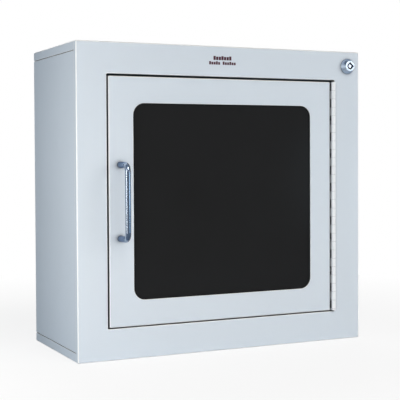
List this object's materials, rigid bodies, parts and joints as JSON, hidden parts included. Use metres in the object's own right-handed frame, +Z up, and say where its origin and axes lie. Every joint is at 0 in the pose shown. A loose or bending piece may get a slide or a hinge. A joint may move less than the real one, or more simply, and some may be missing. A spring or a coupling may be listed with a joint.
{
  "type": "alarmed wall cabinet",
  "caption": "Surface-mount steel wall cabinet with an inset windowed door on a continuous hinge, pull handle, key-switched battery door alarm and magnetic catch.",
  "frame": {"origin": "centre of the back face, the face that lies on the wall", "axes": "+Y into the wall, -Y out of the door, +Z up, +X to the viewer's right when facing the door"},
  "size_m": [0.454, 0.231, 0.438],
  "materials": {
    "cabinet_paint": "pale blue-white powder coat, fine orange peel, semi-gloss",
    "bright_steel": "zinc-plated steel",
    "chrome": "polished chrome",
    "dark_acrylic": "smoked acrylic sheet, polished faces",
    "black_tape": "closed-cell foam tape",
    "black_plastic": "moulded, lightly textured",
    "white_plastic": "moulded, lightly textured",
    "grey_plastic": "moulded, lightly textured",
    "green_board": "solder-mask green laminate",
    "terminal_green": "moulded terminal block",
    "brass": "tin-flashed brass",
    "magnet": "sintered ferrite, dark",
    "rubber": "moulded rubber",
    "print_maroon": "screen-printed ink",
    "battery_wrap": "printed steel can",
    "lead_sheath": "grey PVC lead",
    "lead_red": "PVC wire"
  },
  "bodies": {
    "cabinet": {"front_frame": "cabinet_paint", "side_panel_left": "cabinet_paint", "side_panel_right": "cabinet_paint", "top_cap": "cabinet_paint", "bottom_cap": "cabinet_paint", "back_panel": "cabinet_paint", "door_stop": "cabinet_paint", "door_bumpers": "rubber", "rail_marking": "print_maroon", "hinge_frame_leaf": "cabinet_paint", "hinge_pin": "bright_steel", "hinge_frame_rivets": "bright_steel", "catch_body": "white_plastic", "catch_poles": "bright_steel", "catch_magnet": "magnet", "catch_screws": "bright_steel", "reed_switch": "white_plastic", "reed_screws": "bright_steel", "lock_bezel": "chrome", "lock_barrel": "bright_steel", "lock_washer": "bright_steel", "lock_nut": "bright_steel", "switch_block": "black_plastic", "switch_terminals": "brass", "alarm_base": "grey_plastic", "alarm_studs": "bright_steel", "alarm_nuts": "bright_steel", "alarm_cover": "grey_plastic", "alarm_cover_screws": "bright_steel", "circuit_board": "green_board", "board_spacers": "white_plastic", "board_components": "black_plastic", "terminal_block": "terminal_green", "piezo_siren": "black_plastic", "battery": "battery_wrap", "battery_snap": "black_plastic", "battery_leads": "lead_red", "hatch_pin": "bright_steel", "reed_lead": "lead_sheath", "key_lead": "lead_sheath", "cable_clips": "white_plastic"},
    "door": {"door_pan": "cabinet_paint", "window_pane": "dark_acrylic", "glazing_tape": "black_tape", "pane_clips": "bright_steel", "pane_studs": "bright_steel", "pane_nuts": "bright_steel", "pull_handle": "chrome", "handle_screws": "bright_steel", "handle_washers": "bright_steel", "hinge_door_leaf": "cabinet_paint", "hinge_door_rivets": "bright_steel", "strike_plate": "bright_steel", "strike_rivets": "bright_steel", "door_magnet": "white_plastic", "magnet_rivets": "bright_steel"},
    "key_core": {"lock_rotor": "chrome", "lock_pins": "brass"},
    "battery_hatch": {"battery_hatch": "grey_plastic"}
  },
  "joints": [
    {"name": "door_hinge", "type": "hinge", "parent": "cabinet", "child": "door", "pos_m": [0.1801, -0.199, 0], "axis": [0, 0, 1], "range_deg": [0, 180]},
    {"name": "key_turn", "type": "hinge", "parent": "cabinet", "child": "key_core", "pos_m": [0.206, -0.197, 0.1967], "axis": [0, 1, 0], "range_deg": [0, 90]},
    {"name": "hatch_hinge", "type": "hinge", "parent": "cabinet", "child": "battery_hatch", "pos_m": [0.1536, -0.0404, 0.1515], "axis": [0, 0, 1], "range_deg": [0, 110]}
  ]
}
